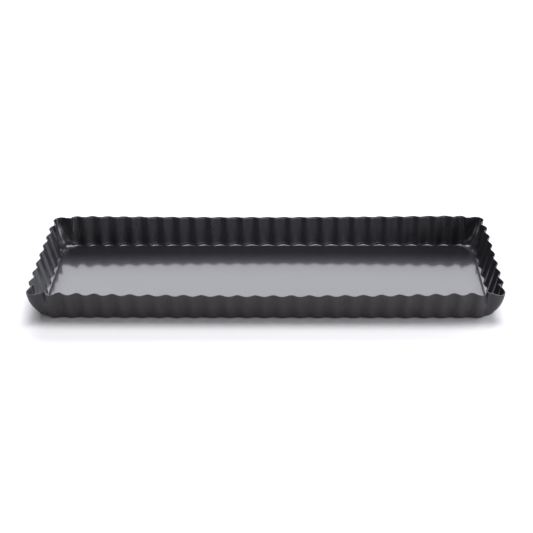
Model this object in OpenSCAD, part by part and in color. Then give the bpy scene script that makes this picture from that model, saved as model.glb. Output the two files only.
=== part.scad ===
// Long fluted tart pan with a loose base: a pressed sheet-steel rim whose foot turns in to a ledge,
// and a flat steel plate that lies on the ledge and lifts out with the baked tart.
// Millimetres. The origin is on the table under the pan's middle, +X along the pan and +Z up.

/* [Pan] */
// Length over the tips of the flutes, at the rim
pan_l = 350; // [240:1:480]
// Width over the tips of the flutes, at the rim and the middle of the long sides
pan_w = 117; // [90:0.2:240]
// Height of the rim at the middle of the long sides
pan_h = 23.5; // [15:0.2:40]
// Thickness of the pressed sheet
sheet_t = 0.5; // [0.3:0.1:1]
// Lean of the wall, outwards from upright, in degrees
wall_lean = 12.5; // [4:0.5:20]

/* [Flutes] */
// Pitch aimed at along the sides, which take a whole number of flutes
flute_pitch = 13; // [8:0.5:20]
// Depth of a flute far from the corners
flute_depth = 1.65; // [0.5:0.05:3]
// Extra depth of the flutes beside a corner
corner_extra = 1.6; // [0:0.1:3]
// Distance along the side in which the extra depth falls to a third
extra_run = 32; // [10:1:60]
// Share of the extra depth that is left at the foot
extra_at_foot = 0.15; // [0:0.05:1]
// Length of each side, at the rim, that belongs to the corner's single wide flute
corner_run = 12.5; // [10:0.5:20]
// How much further out the tip of a corner's flute stands at the rim
corner_flare = 1.8; // [0:0.1:4]
// Outward swell of a corner's wall between its rim and foot
corner_swell = 1.5; // [0:0.1:3]

/* [Rim line] */
// Outward bow of the long sides at their middle
side_bow = 0.2; // [0:0.1:2]
// Rise of the long sides' rim from their middle to shortly before the corners
end_rise = 1.6; // [0:0.1:3]
// Height of the rim in the corners and on the short sides over the middle of the long sides
short_rise = 0.3; // [0:0.1:2]

/* [Foot] */
// Reach of the bend between the ledge and the wall, each way from the sharp corner under a tip
bend_k = 2.9; // [1:0.1:5]
// The same reach in the pan's corners
corner_bend_k = 5.8; // [2:0.1:8]
// Corner radius of the foot, seen from above
foot_corner_r = 12.5; // [9:0.5:24]
// Width of the flat ledge under the base plate, inwards from the bend
ledge_w = 6; // [4:0.5:8]

/* [Base plate] */
// Thickness of the base plate
base_t = 0.7; // [0.5:0.1:2]
// Clearance between the base plate's edge and the start of the bend
base_clear = 0.35; // [0.2:0.05:3]

/* [Hidden] */

function flutes_on(side) = round((side - 2 * corner_run) / flute_pitch);
flutes = 2 * (flutes_on(pan_l) + flutes_on(pan_w - 2 * side_bow));
side_columns = 500;  // most columns that the four sides may have together, which keeps the mesh light
steps_per_flute = min(6, 2 * floor(side_columns / flutes / 2));
steps_per_corner = 10;
corner_drop = 24;    // power that keeps the rim's drop to the corner's height close to the corner

lean_in = pan_h * tan(wall_lean);            // how far the foot is inside the rim
side_w = pan_w - 2 * side_bow;               // width where the long sides meet the corners
foot_half = [pan_l / 2 - lean_in, side_w / 2 - lean_in];
// Angle of the foot's corner arc at which a corner's wide flute begins and ends
corner_from = asin(max(0, lean_in + foot_corner_r - corner_run) / foot_corner_r);

// The flutes run down to the ledge, so a bend starts far enough in to pass under their crests
crest_in = (flute_depth + corner_extra * extra_at_foot) / cos(wall_lean);
crest_run = 1.8 * sheet_t;                   // least reach of the bend under a crest
bend_in = max(bend_k, crest_in + crest_run);
base_in = bend_in + base_clear;
base_half = [foot_half[0] - base_in, foot_half[1] - base_in];
// The base's corner keeps the clearance from the wider bend of the pan's corner
diagonal = sqrt(0.5);
corner_in = foot_corner_r * (1 - diagonal) + (corner_bend_k + base_clear) * diagonal;
base_corner_r = max(2, (corner_in - base_in) / (1 - diagonal));

function unit(v) = v / norm(v);
function mix(a, b, t) = a * (1 - t) + b * t;
function turned(p, a) = [p[0] * cos(a) - p[1] * sin(a), p[0] * sin(a) + p[1] * cos(a)];

function flute_wave(phase) = pow((1 + cos(phase)) / 2, 1.15);

// A column is the wall's line at one place round the pan, as a list of these
function foot(c) = c[0];        // sharp point where wall and table would meet
function foot_out(c) = c[1];    // outward direction there
function rim(c) = c[2];         // rim point over an outward tip
function rim_z(c) = c[3];
function wave(c) = c[4];        // 1 on an inward crest of the flutes and 0 on an outward tip
function extra(c) = c[5];       // flute depth added here near a corner
function share(c) = c[6];       // 0 on a side and 1 in a corner
function bend(c) = c[7];
function swell(c) = c[8];

// Side of half length a at distance b: u runs along it and the outside is towards -y
function side_column(a, b, u, bow, rise) =
    let (
        run = a - corner_run,
        count = flutes_on(2 * a),
        wave = flute_wave(360 * count * (u + run) / (2 * run)),
        extra = corner_extra * exp(-(run - abs(u)) / extra_run),
        push = bow * (1 - pow(u / run, 2)),
        straight = a - lean_in - foot_corner_r,
        arc = asin(max(0, abs(u) - straight) / foot_corner_r),
        foot = [u, -(b - lean_in - foot_corner_r) - foot_corner_r * cos(arc) - push],
        share = pow(max(0, 1 - (run - abs(u)) * count / run), 2)
    )
    [foot, [sign(u) * sin(arc), -cos(arc)], [u, -b - push], pan_h + rise, wave, extra, share,
        mix(bend_in, corner_bend_k, share), 0];

// Corner that follows that side, t from 0 to 1
function corner_column(a, b, t) =
    let (
        arc = mix(corner_from, 90 - corner_from, t),
        foot_n = [sin(arc), -cos(arc)],
        rim_n = [sin(90 * t), -cos(90 * t)],
        wave = flute_wave(360 * t),
        foot = [a - lean_in - foot_corner_r, -(b - lean_in - foot_corner_r)] + foot_corner_r * foot_n,
        reach = corner_run + corner_flare * (1 - wave),
        rim = [a - corner_run, -(b - corner_run)] + reach * rim_n
    )
    [foot, foot_n, rim, pan_h + short_rise, wave, corner_extra, 1, corner_bend_k,
        corner_swell * (1 - wave)];

// Height of the rim over pan_h along a side, where u runs from 0 at its middle to 1 at a corner
function rim_lift(middle, peak, u) =
    mix(middle + peak * pow(u, 2), short_rise, pow(u, corner_drop));

// One side and the corner after it, turned to its place
function quarter(a, b, bow, middle, peak, angle) =
    let (
        run = a - corner_run,
        steps = flutes_on(2 * a) * steps_per_flute,
        side = [for (i = [0 : steps - 1])
            let (u = -run + 2 * run * i / steps)
            side_column(a, b, u, bow, rim_lift(middle, peak, abs(u) / run))],
        corner = [for (i = [0 : steps_per_corner - 1]) corner_column(a, b, i / steps_per_corner)]
    )
    [for (c = concat(side, corner))
        [for (i = [0 : len(c) - 1]) i < 3 ? turned(c[i], angle) : c[i]]];

columns = concat(
    quarter(pan_l / 2, side_w / 2, side_bow, 0, end_rise, 0),
    quarter(side_w / 2, pan_l / 2, 0, short_rise, 0, 90),
    quarter(pan_l / 2, side_w / 2, side_bow, 0, end_rise, 180),
    quarter(side_w / 2, pan_l / 2, 0, short_rise, 0, 270));

// Inward offset of the flutes at a share of the wall's height; in a corner it dies away downwards
function flute(c, height) =
    wave(c) * (flute_depth + extra(c) * mix(extra_at_foot, 1, height)) * mix(1, pow(height, 1.2), share(c));

// Places along the bend, and up the wall from the bend to the rim
bend_steps = [0.5, 1];
wall_steps = [0.45, 1];

// A point of the sheet: n outwards from the sharp foot point and z up, then moved in by a distance
function place(c, n, z, in_n, in_z, by) =
    let (
        nn = n + in_n * by,
        way = nn < 0 ? foot_out(c) : unit(rim(c) - foot(c)),
        xy = foot(c) + way * nn
    )
    [xy[0], xy[1], z + in_z * by];

// The wall in its own plane, from the sharp foot point to the rim
function wall_top(c) = [norm(rim(c) - foot(c)), rim_z(c)];

function bend_point(c, t, sheet) =
    let (
        wall = unit(wall_top(c)),
        k = bend(c),
        depth = flute(c, k / rim_z(c)),
        start = [-k, 0],
        corner = [-depth / wall[1], 0],
        end = k * wall + depth * [-wall[1], wall[0]],
        p = start * pow(1 - t, 2) + corner * 2 * t * (1 - t) + end * pow(t, 2),
        way = unit(mix(corner - start, end - corner, t))
    )
    place(c, p[0], p[1], -way[1], way[0], sheet);

function wall_point(c, t, sheet) =
    let (
        wall = unit(wall_top(c)),
        p = mix(bend(c) * wall, wall_top(c), t),
        by = flute(c, p[1] / rim_z(c)) - swell(c) * 4 * t * (1 - t) + sheet
    )
    place(c, p[0], p[1], -wall[1], wall[0], by);

// Closed section of the sheet at a column: ledge, bend and wall outside, then back down the inside
function section(c) =
    let (bends = len(bend_steps) - 1, walls = len(wall_steps) - 1, ledge_n = -bend_in - ledge_w)
    concat(
        [place(c, ledge_n, 0, 0, 1, 0), place(c, -bend(c), 0, 0, 1, 0)],
        [for (t = bend_steps) bend_point(c, t, 0)],
        [for (t = wall_steps) wall_point(c, t, 0)],
        [for (i = [walls : -1 : 0]) wall_point(c, wall_steps[i], sheet_t)],
        [for (i = [bends : -1 : 0]) bend_point(c, bend_steps[i], sheet_t)],
        [place(c, -bend(c), 0, 0, 1, sheet_t), place(c, ledge_n, 0, 0, 1, sheet_t)]);

// Skin through a ring of closed sections
module ring_skin(sections) {
    rows = len(sections);
    cols = len(sections[0]);
    polyhedron(
        points = [for (s = sections) each s],
        faces = [for (r = [0 : rows - 1], k = [0 : cols - 1])
            let (
                a = r * cols + k,
                b = r * cols + (k + 1) % cols,
                c = ((r + 1) % rows) * cols + (k + 1) % cols,
                d = ((r + 1) % rows) * cols + k
            )
            each [[a, b, c], [a, c, d]]],
        convexity = 8);
}

module fluted_rim() {
    color("#3c3a3d") ring_skin([for (c = columns) section(c)]);
}

module loose_base() {
    color("#4a4a4e")
    translate([0, 0, sheet_t])
    linear_extrude(base_t)
    union() {
        square([2 * base_half[0], 2 * (base_half[1] - base_corner_r)], center = true);
        square([2 * (base_half[0] - base_corner_r), 2 * base_half[1]], center = true);
        for (x = [-1, 1], y = [-1, 1])
            translate([x * (base_half[0] - base_corner_r), y * (base_half[1] - base_corner_r)])
            circle(r = base_corner_r, $fn = 64);
    }
}

fluted_rim();
loose_base();
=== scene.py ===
# Long fluted tart pan with a loose base, on a white studio floor. Metres, +X along the pan, +Z up.
import math

import bpy
from mathutils import Matrix, Vector


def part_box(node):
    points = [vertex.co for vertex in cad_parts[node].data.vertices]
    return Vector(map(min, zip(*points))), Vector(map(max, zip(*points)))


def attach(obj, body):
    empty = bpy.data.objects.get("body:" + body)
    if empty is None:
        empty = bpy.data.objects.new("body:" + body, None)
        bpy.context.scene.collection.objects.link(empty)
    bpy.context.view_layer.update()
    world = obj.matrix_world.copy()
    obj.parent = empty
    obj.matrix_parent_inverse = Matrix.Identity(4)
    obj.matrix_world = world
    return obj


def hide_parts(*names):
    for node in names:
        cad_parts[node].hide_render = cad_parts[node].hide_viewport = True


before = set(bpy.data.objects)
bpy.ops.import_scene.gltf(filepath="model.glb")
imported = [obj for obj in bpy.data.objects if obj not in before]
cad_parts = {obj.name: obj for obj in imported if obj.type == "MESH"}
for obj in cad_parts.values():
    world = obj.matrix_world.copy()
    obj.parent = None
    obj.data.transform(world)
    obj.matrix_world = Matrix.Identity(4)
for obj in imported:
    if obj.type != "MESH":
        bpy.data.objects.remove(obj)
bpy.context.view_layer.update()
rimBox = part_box("fluted_rim")
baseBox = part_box("loose_base")
print("frame loaded:", sorted(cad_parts))

scene = bpy.context.scene


def newPrimitive(addOperator, name, **options):
    bpy.ops.object.select_all(action="DESELECT")
    addOperator(**options)
    piece = bpy.context.object
    piece.name = name
    piece.data.name = name
    return piece


def editWhole(selectMode):
    bpy.ops.object.mode_set(mode="EDIT")
    bpy.ops.mesh.select_mode(type=selectMode)
    bpy.ops.mesh.select_all(action="SELECT")


def objectMode():
    bpy.ops.object.mode_set(mode="OBJECT")


def applyModifier(piece, kind, name, **settings):
    modifier = piece.modifiers.new(name, kind)
    for setting, value in settings.items():
        setattr(modifier, setting, value)
    bpy.ops.object.modifier_apply(modifier=modifier.name)


mainCamera = {
    "aim": (0.0008, -0.0183, 0.0241),
    "distance": 0.8022,
    "elevation": 32.25,   # degrees above the floor
    "turn": 1.77,         # degrees the view is turned towards the pan's left end
    "roll": -0.96,
    "lens": 72.0,
    "sensorWidth": 36,
    "clip": (0.01, 50),
}


def addCamera(spec):
    cameraData = bpy.data.cameras.new("mainCamera")
    cameraData.lens = spec["lens"]
    cameraData.sensor_width = spec["sensorWidth"]
    cameraData.clip_start, cameraData.clip_end = spec["clip"]
    camera = bpy.data.objects.new("mainCamera", cameraData)
    scene.collection.objects.link(camera)
    turn = (Matrix.Rotation(math.radians(spec["turn"]), 3, "Z")
            @ Matrix.Rotation(math.radians(90 - spec["elevation"]), 3, "X")
            @ Matrix.Rotation(math.radians(spec["roll"]), 3, "Z"))
    camera.rotation_euler = turn.to_euler()
    camera.location = Vector(spec["aim"]) + turn @ Vector((0, 0, spec["distance"]))
    scene.camera = camera


addCamera(mainCamera)
print("camera placed")


studioFloor = {"size": 12.0, "colour": (0.86, 0.86, 0.86), "roughness": 0.9, "specular": 0.1}


def addFloor(spec):
    floor = newPrimitive(bpy.ops.mesh.primitive_plane_add, "studioFloor", size=spec["size"])
    material = bpy.data.materials.new("floorPaper")
    material.use_nodes = True
    shader = material.node_tree.nodes["Principled BSDF"]
    shader.inputs["Base Color"].default_value = (*spec["colour"], 1)
    shader.inputs["Roughness"].default_value = spec["roughness"]
    shader.inputs["Specular IOR Level"].default_value = spec["specular"]
    floor.data.materials.append(material)


studioLights = {
    # name: place, aim, width, height, power in watts, colour
    "backPanel": ((0.02, 1.5, 1.08), (0.0, 0.0, 0.0), 2.15, 1.1, 40, (0.93, 0.93, 1.0)),
    "topPanel": ((0.1, 0.25, 1.6), (0.0, 0.0, 0.0), 0.9, 0.8, 24, (0.98, 0.97, 1.0)),
    "rightPanel": ((1.4, 0.05, 0.4), (0.0, 0.0, 0.0), 2.3, 0.5, 25, (0.92, 0.95, 1.0)),
    "leftPanel": ((-1.3, -0.5, 0.3), (0.0, 0.0, 0.0), 0.7, 0.4, 2.5, (0.95, 0.96, 1.0)),
    "frontPanel": ((0.7, -1.75, 0.34), (0.0, 0.0, 0.0), 3.2, 0.4, 13, (0.97, 0.96, 1.0)),
}


def addLights(lights):
    for name, (place, aim, width, height, power, colour) in lights.items():
        lightData = bpy.data.lights.new(name, "AREA")
        lightData.shape = "RECTANGLE"
        lightData.size = width
        lightData.size_y = height
        lightData.energy = power
        lightData.color = colour
        light = bpy.data.objects.new(name, lightData)
        scene.collection.objects.link(light)
        light.location = place
        light.rotation_euler = (Vector(aim) - Vector(place)).to_track_quat("-Z", "Y").to_euler()


skyStrength = 0.06


def addSky(strength):
    sky = bpy.data.worlds.new("studioSky")
    scene.world = sky
    sky.use_nodes = True
    background = sky.node_tree.nodes["Background"]
    background.inputs["Color"].default_value = (1, 1, 1, 1)
    background.inputs["Strength"].default_value = strength


addFloor(studioFloor)
addLights(studioLights)
addSky(skyStrength)
scene.view_settings.view_transform = "Standard"
print("floor and lights placed")


flutedRim = {
    "height": 0.0235,            # rim over the table at the middle of the long sides
    "endRise": 0.0016,           # how much higher the long sides' rim is near the corners
    "shortRise": 0.0003,
    "cornerDrop": 24,            # power that keeps the drop to the corner close to it
    "sideBow": 0.0002,
    "sheet": 0.0005,
    "lean": 12.5,                # degrees outwards from upright
    "longFlutes": 25,
    "shortFlutes": 7,
    "depth": 0.00165,            # of a flute far from the corners
    "cornerExtra": 0.0016,       # added to the depth of the flutes beside a corner
    "extraRun": 0.032,           # distance along the side in which that falls to a third
    "extraAtFoot": 0.15,         # share of it that is left at the foot
    "crestPower": 1.15,          # over 1 narrows the inward crests
    "cornerRun": 0.0125,         # length of each side, at the rim, that belongs to the corner's wide flute
    "cornerFlare": 0.0018,
    "cornerSwell": 0.0015,
    "cornerFade": 1.2,           # power with which a corner's flute dies away downwards
    "bendReach": 0.0029,         # of the bend between ledge and wall
    "cornerBendReach": 0.0058,
    "footRadius": 0.0125,        # of the foot's corner, seen from above
    "ledge": 0.006,
    "columnsPerFlute": 16,
    "columnsPerCorner": 28,
    "bendSteps": 6,
    "wallSteps": 10,
    "edgeRound": 0.00014,
    "edgeSegments": 2,
    "pleatPlace": 0.0021,        # from the crest beside a corner towards the middle of the side
    "pleatWidth": 0.0008,
    "pleatDepth": 0.0019,
    "pleatFoot": 0.40,           # share of the height at which it has died away
    "pleatPower": 0.7,           # under 1 keeps it deep until shortly before its foot
    "columnsPerPleatedFlute": 48,
}
bevelAngle = math.radians(60)    # edges sharper than this are rounded
smoothAngle = math.radians(40)


def mix(first, second, share):
    return first * (1 - share) + second * share


def fluteWave(spec, turns):
    # 1 on an inward crest, 0 on an outward tip
    return ((1 + math.cos(2 * math.pi * turns)) / 2) ** spec["crestPower"]


def rimLift(spec, middle, peak, along):
    # Height of the rim over the pan's height, from a side's middle, along 0, to its corner, along 1
    return mix(middle + peak * along * along, spec["shortRise"], along ** spec["cornerDrop"])


def wallColumns(spec):
    # Every upright line of the wall, anticlockwise from the front left corner
    halfLength = rimBox[1].x
    halfWidth = rimBox[1].y - spec["sideBow"]
    # A side's half length and its distance from the middle, then its flutes, its bow, and the rim's rise
    longSide = (halfLength, halfWidth, spec["longFlutes"], spec["sideBow"], 0, spec["endRise"])
    shortSide = (halfWidth, halfLength, spec["shortFlutes"], 0, spec["shortRise"], 0)
    columns = []
    for side, angle in ((longSide, 0), (shortSide, 90), (longSide, 180), (shortSide, 270)):
        turn = Matrix.Rotation(math.radians(angle), 2)
        for column in sideColumns(spec, *side) + cornerColumns(spec, *side[:2]):
            for place in ("foot", "footOut", "rim"):
                column[place] = turn @ column[place]
            column["top"] = Vector(((column["rim"] - column["foot"]).length, column["rimZ"]))
            columns.append(column)
    return columns


def placesAlong(spec, count, flute):
    # Places of the columns along a side, closer together in the two end flutes, which have the pleats
    places = []
    for i in range(count):
        steps = spec["columnsPerPleatedFlute"] if i in (0, count - 1) else spec["columnsPerFlute"]
        places += [flute * (i - count / 2 + step / steps) for step in range(steps)]
    return places


def leanIn(spec):
    return spec["height"] * math.tan(math.radians(spec["lean"]))


def sideColumns(spec, halfSide, away, count, bow, middle, peak):
    # A side along X at a distance from the middle, with the outside towards -Y
    run = halfSide - spec["cornerRun"]
    radius = spec["footRadius"]
    straight = halfSide - leanIn(spec) - radius
    flute = 2 * run / count
    columns = []
    for along in placesAlong(spec, count, flute):
        arc = math.asin(max(0, abs(along) - straight) / radius)
        push = bow * (1 - (along / run) ** 2)
        share = max(0, 1 - (run - abs(along)) * count / run) ** 2
        columns.append({
            "foot": Vector((along, -(away - leanIn(spec) - radius) - radius * math.cos(arc) - push)),
            "footOut": Vector((math.copysign(math.sin(arc), along), -math.cos(arc))),
            "rim": Vector((along, -away - push)),
            "rimZ": spec["height"] + rimLift(spec, middle, peak, abs(along) / run),
            "wave": fluteWave(spec, count * (along + run) / (2 * run)),
            "extra": spec["cornerExtra"] * math.exp(-(run - abs(along)) / spec["extraRun"]),
            "cornerShare": share,
            "bend": mix(spec["bendReach"], spec["cornerBendReach"], share),
            "swell": 0,
            "pleat": math.exp(-((run - abs(along) - spec["pleatPlace"]) / spec["pleatWidth"]) ** 2),
        })
    return columns


def cornerColumns(spec, halfSide, away):
    # The corner after that side, at its +X end
    radius = spec["footRadius"]
    arcFrom = math.asin((leanIn(spec) + radius - spec["cornerRun"]) / radius)
    centreFoot = Vector((halfSide - leanIn(spec) - radius, -(away - leanIn(spec) - radius)))
    centreRim = Vector((halfSide - spec["cornerRun"], -(away - spec["cornerRun"])))
    columns = []
    for i in range(spec["columnsPerCorner"]):
        t = i / spec["columnsPerCorner"]
        arc = mix(arcFrom, math.pi / 2 - arcFrom, t)
        footOut = Vector((math.sin(arc), -math.cos(arc)))
        rimOut = Vector((math.sin(math.pi / 2 * t), -math.cos(math.pi / 2 * t)))
        wave = fluteWave(spec, t)
        columns.append({
            "foot": centreFoot + radius * footOut,
            "footOut": footOut,
            "rim": centreRim + (spec["cornerRun"] + spec["cornerFlare"] * (1 - wave)) * rimOut,
            "rimZ": spec["height"] + spec["shortRise"],
            "wave": wave,
            "extra": spec["cornerExtra"],
            "cornerShare": 1,
            "bend": spec["cornerBendReach"],
            "swell": spec["cornerSwell"] * (1 - wave),
            "pleat": 0,
        })
    return columns


def fluteAt(spec, column, height):
    depth = spec["depth"] + column["extra"] * mix(spec["extraAtFoot"], 1, height)
    return column["wave"] * depth * mix(1, height ** spec["cornerFade"], column["cornerShare"])


def onSheet(column, outwards, up):
    # Outwards is measured from the sharp point where wall and table would meet
    if outwards < 0:
        way = column["footOut"]
    else:
        way = (column["rim"] - column["foot"]).normalized()
    spot = column["foot"] + way * outwards
    return Vector((spot.x, spot.y, up))


def outerPath(spec, column):
    # The outside of the sheet from the ledge's inner edge, round the bend and up to the rim
    bend, top = column["bend"], column["top"]
    line = top.normalized()
    ledgeEnd = -spec["bendReach"] - spec["ledge"]
    path = [onSheet(column, mix(ledgeEnd, -bend, t), 0) for t in (0, 0.5, 1)]
    depth = fluteAt(spec, column, bend / column["rimZ"])
    start = Vector((-bend, 0))
    corner = Vector((-depth / line.y, 0))
    end = bend * line + depth * Vector((-line.y, line.x))
    for i in range(1, spec["bendSteps"] + 1):
        t = i / spec["bendSteps"]
        spot = (1 - t) ** 2 * start + 2 * t * (1 - t) * corner + t * t * end
        path.append(onSheet(column, spot.x, spot.y))
    for i in range(1, spec["wallSteps"] + 1):
        t = i / spec["wallSteps"]
        spot = mix(bend * line, top, t)
        inwards = fluteAt(spec, column, spot.y / column["rimZ"]) - column["swell"] * 4 * t * (1 - t)
        overPleatFoot = max(0, (t - spec["pleatFoot"]) / (1 - spec["pleatFoot"]))
        inwards += spec["pleatDepth"] * column["pleat"] * overPleatFoot ** spec["pleatPower"]
        path.append(onSheet(column, spot.x - line.y * inwards, spot.y + line.x * inwards))
    return path


def buildFlutedRim(spec):
    columns = wallColumns(spec)
    paths = [outerPath(spec, column) for column in columns]
    rows = len(paths[0])
    # A ring of edges drawn up into a plain sleeve, whose rows and columns then take the pressed sheet's shape
    ringRadius, rowStep = 1.0, 0.1
    rim = newPrimitive(bpy.ops.mesh.primitive_circle_add, "flutedRim",
                       vertices=len(columns), radius=ringRadius, fill_type="NOTHING")
    editWhole("EDGE")
    for row in range(rows - 1):
        bpy.ops.mesh.extrude_region_move(TRANSFORM_OT_translate={"value": (0, 0, rowStep)})
    objectMode()
    for vertex in rim.data.vertices:
        row = round(vertex.co.z / rowStep)
        turns = math.atan2(vertex.co.y, vertex.co.x) / (2 * math.pi)
        vertex.co = paths[round(turns * len(columns)) % len(columns)][row]
    editWhole("FACE")
    bpy.ops.mesh.normals_make_consistent(inside=False)
    objectMode()
    lowest = min(rim.data.polygons, key=lambda face: face.center.z)
    if lowest.normal.z > 0:     # the outside of the sheet faces down under the ledge
        editWhole("FACE")
        bpy.ops.mesh.flip_normals()
        objectMode()
    applyModifier(rim, "SOLIDIFY", "sheet", thickness=spec["sheet"], offset=-1, use_even_offset=True)
    applyModifier(rim, "BEVEL", "cutEdge", width=spec["edgeRound"], segments=spec["edgeSegments"],
                  limit_method="ANGLE", angle_limit=bevelAngle)
    bpy.ops.object.shade_smooth_by_angle(angle=smoothAngle)
    return rim


rimPiece = buildFlutedRim(flutedRim)
print("fluted rim:", len(rimPiece.data.polygons), "faces")


looseBase = {
    "cornerCells": 8,
    "longCells": 48,
    "wideCells": 14,
    "edgeRound": 0.00018,
    "edgeSegments": 3,
}


def cornerRadiusOf(node, high, near=1e-5):
    # From the end of the straight part of the node's short edge
    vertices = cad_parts[node].data.vertices
    return high.y - max(vertex.co.y for vertex in vertices if vertex.co.x > high.x - near)


def gridLines(halfSize, radius, spec, cells):
    # Places of the grid's lines: fine ones inside the corner radius, wide ones between
    straight = halfSize - radius
    fine = [radius * i / spec["cornerCells"] for i in range(1, spec["cornerCells"] + 1)]
    middle = [-straight + 2 * straight * i / cells for i in range(cells + 1)]
    return [-straight - step for step in reversed(fine)] + middle + [straight + step for step in fine]


def roundedCorner(x, y, halfX, halfY, radius):
    # Squeezes the square in each corner of the grid into a quarter circle
    overX, overY = abs(x) - (halfX - radius), abs(y) - (halfY - radius)
    if overX <= 0 or overY <= 0:
        return x, y
    squeeze = max(overX, overY) / math.hypot(overX, overY)
    return (math.copysign(halfX - radius + overX * squeeze, x),
            math.copysign(halfY - radius + overY * squeeze, y))


def buildLooseBase(spec):
    low, high = baseBox
    radius = cornerRadiusOf("loose_base", high)
    longLines = gridLines(high.x, radius, spec, spec["longCells"])
    wideLines = gridLines(high.y, radius, spec, spec["wideCells"])
    base = newPrimitive(bpy.ops.mesh.primitive_grid_add, "looseBase", size=2,
                        x_subdivisions=len(longLines) - 1, y_subdivisions=len(wideLines) - 1)
    for vertex in base.data.vertices:
        column = round((vertex.co.x + 1) / 2 * (len(longLines) - 1))
        row = round((vertex.co.y + 1) / 2 * (len(wideLines) - 1))
        x, y = roundedCorner(longLines[column], wideLines[row], high.x, high.y, radius)
        vertex.co = (x, y, high.z)
    applyModifier(base, "SOLIDIFY", "sheet", thickness=high.z - low.z, offset=-1)
    applyModifier(base, "BEVEL", "cutEdge", width=spec["edgeRound"], segments=spec["edgeSegments"],
                  limit_method="ANGLE", angle_limit=bevelAngle)
    bpy.ops.object.shade_smooth_by_angle(angle=smoothAngle)
    return base


basePiece = buildLooseBase(looseBase)
print("loose base:", len(basePiece.data.polygons), "faces")


# Tone runs between two values over the grain and draw marks, and roughness over the clouds
mattFinish = {
    "tone": ((0.0205, 0.0180, 0.0203), (0.0287, 0.0253, 0.0284)),
    "roughness": (0.45, 0.53),
    "gloss": 0.0,                # weight of a clear top layer
}
rimCoating = {
    "inside": {
        "tone": ((0.0200, 0.0194, 0.0232), (0.0290, 0.0280, 0.0334)),
        "roughness": (0.26, 0.31),
        "gloss": 0.40,
    },
    "outside": mattFinish,
    "specular": 0.42,
    "glossRoughness": 0.20,
    "grainScale": 2600,
    "grainDepth": 0.00002,
}
baseCoating = {
    "inside": {
        "tone": ((0.0140, 0.0140, 0.0172), (0.0215, 0.0215, 0.0268)),
        "roughness": (0.30, 0.33),
        "gloss": 0.6,
    },
    "outside": mattFinish,
    "specular": 0.2,
    "glossRoughness": 0.1,
    "grainScale": 3200,
    "grainDepth": 0.000006,
}
insideBand = 0.04                # upward part of the normal within which one finish turns into the other
grain = {"detail": 3, "strength": 0.3}
drawMarks = {"scale": 800, "stretch": 0.05, "detail": 2}    # left along the wall's height by the pressing
clouds = {"scale": 60, "detail": 4}
cloudRange = (0.3, 0.7)          # the noise's values between which the clouds run
toneRange = (0.35, 0.65)         # and those between which the tone runs


def markInside(piece):
    # The wall leans out, so its inside faces up a little and its outside down
    share = piece.data.attributes.new("insideShare", "FLOAT", "FACE")
    for face in piece.data.polygons:
        share.data[face.index].value = min(1, max(0, (face.normal.z + insideBand) / (2 * insideBand)))


def noiseNode(nodes, links, vector, scale, detail):
    noise = nodes.new("ShaderNodeTexNoise")
    noise.inputs["Scale"].default_value = scale
    noise.inputs["Detail"].default_value = detail
    links.new(vector, noise.inputs["Vector"])
    return noise.outputs["Fac"]


def rangeNode(nodes, links, value, fromRange, toRange):
    mapped = nodes.new("ShaderNodeMapRange")
    for socket, number in zip(("From Min", "From Max", "To Min", "To Max"), (*fromRange, *toRange)):
        mapped.inputs[socket].default_value = number
    links.new(value, mapped.inputs["Value"])
    return mapped.outputs["Result"]


def toneNode(nodes, links, value, tone):
    ramp = nodes.new("ShaderNodeValToRGB")
    for element, place, colour in zip(ramp.color_ramp.elements, toneRange, tone):
        element.position = place
        element.color = (*colour, 1)
    links.new(value, ramp.inputs["Fac"])
    return ramp.outputs["Color"]


def mixNode(nodes, links, kind, share, first, second):
    mixed = nodes.new("ShaderNodeMix")
    mixed.data_type = kind
    sockets = {"FLOAT": (2, 3, 0), "RGBA": (6, 7, 2)}[kind]
    if share is not None:        # half and half without one
        links.new(share, mixed.inputs[0])
    links.new(first, mixed.inputs[sockets[0]])
    links.new(second, mixed.inputs[sockets[1]])
    return mixed.outputs[sockets[2]]


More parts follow.
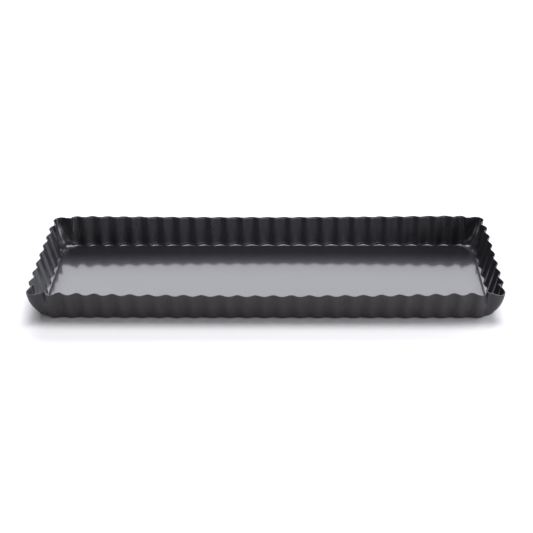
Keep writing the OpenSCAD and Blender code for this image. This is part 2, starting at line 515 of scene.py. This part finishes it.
def coatingMaterial(name, spec):
    material = bpy.data.materials.new(name)
    material.use_nodes = True
    nodes, links = material.node_tree.nodes, material.node_tree.links
    shader = nodes["Principled BSDF"]
    shader.inputs["Specular IOR Level"].default_value = spec["specular"]
    shader.inputs["Coat Roughness"].default_value = spec["glossRoughness"]
    place = nodes.new("ShaderNodeTexCoord").outputs["Object"]
    insideAttribute = nodes.new("ShaderNodeAttribute")
    insideAttribute.attribute_name = "insideShare"
    share = insideAttribute.outputs["Fac"]
    inside, outside = spec["inside"], spec["outside"]

    grainNoise = noiseNode(nodes, links, place, spec["grainScale"], grain["detail"])
    cloud = noiseNode(nodes, links, place, clouds["scale"], clouds["detail"])
    stretch = nodes.new("ShaderNodeMapping")
    stretch.inputs["Scale"].default_value = (1, 1, drawMarks["stretch"])
    links.new(place, stretch.inputs["Vector"])
    marks = noiseNode(nodes, links, stretch.outputs["Vector"], drawMarks["scale"], drawMarks["detail"])
    speckle = mixNode(nodes, links, "FLOAT", None, grainNoise, marks)

    toneOutside = toneNode(nodes, links, speckle, outside["tone"])
    toneInside = toneNode(nodes, links, speckle, inside["tone"])
    links.new(mixNode(nodes, links, "RGBA", share, toneOutside, toneInside), shader.inputs["Base Color"])
    roughOutside = rangeNode(nodes, links, cloud, cloudRange, outside["roughness"])
    roughInside = rangeNode(nodes, links, cloud, cloudRange, inside["roughness"])
    links.new(mixNode(nodes, links, "FLOAT", share, roughOutside, roughInside), shader.inputs["Roughness"])
    links.new(rangeNode(nodes, links, share, (0, 1), (outside["gloss"], inside["gloss"])),
              shader.inputs["Coat Weight"])

    bump = nodes.new("ShaderNodeBump")
    bump.inputs["Strength"].default_value = grain["strength"]
    bump.inputs["Distance"].default_value = spec["grainDepth"]
    links.new(grainNoise, bump.inputs["Height"])
    links.new(bump.outputs["Normal"], shader.inputs["Normal"])
    return material


for piece, name, spec in ((rimPiece, "rimCoating", rimCoating), (basePiece, "baseCoating", baseCoating)):
    markInside(piece)
    piece.data.materials.append(coatingMaterial(name, spec))
print("finishes made")

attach(rimPiece, "rim")
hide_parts("fluted_rim")
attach(basePiece, "base")
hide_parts("loose_base")
